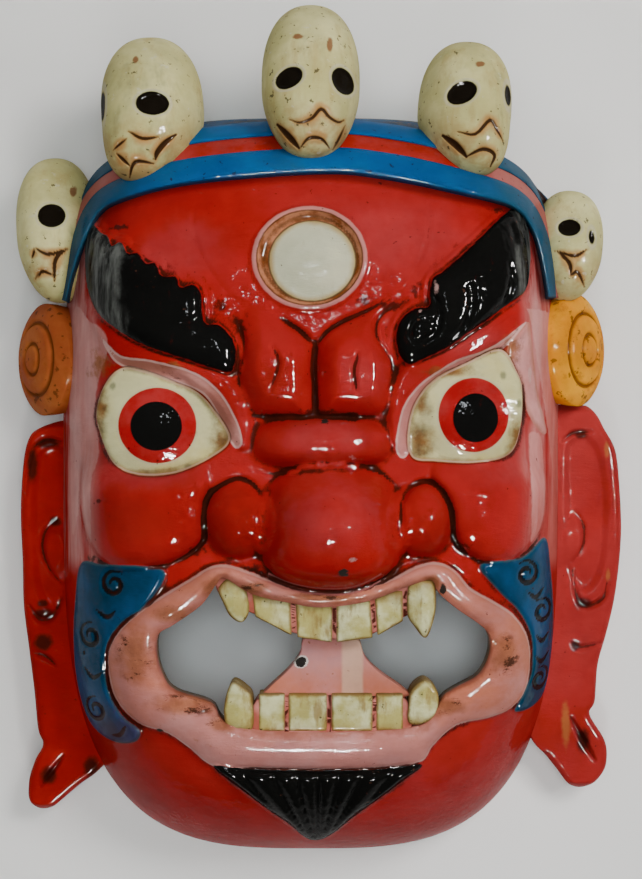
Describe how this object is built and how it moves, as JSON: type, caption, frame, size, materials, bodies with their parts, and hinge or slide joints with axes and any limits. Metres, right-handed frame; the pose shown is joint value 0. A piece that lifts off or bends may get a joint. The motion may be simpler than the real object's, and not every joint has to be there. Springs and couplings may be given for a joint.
{
  "type": "wrathful deity mask",
  "caption": "Carved and painted wooden mask of a wrathful deity with a crown of skulls, bulging eyes, fanged open mouth and long ears, hollow behind.",
  "frame": {"origin": "middle of the bounding box in plan, at the flat back rim the mask lies on", "axes": "+Y towards the crown, +Z out of the face, +X to the viewer's right when the face is seen upright"},
  "size_m": [0.295, 0.4026, 0.14],
  "materials": {
    "painted_wood": "glossy"
  },
  "bodies": {
    "root": {"mask": "painted_wood"}
  },
  "joints": []
}
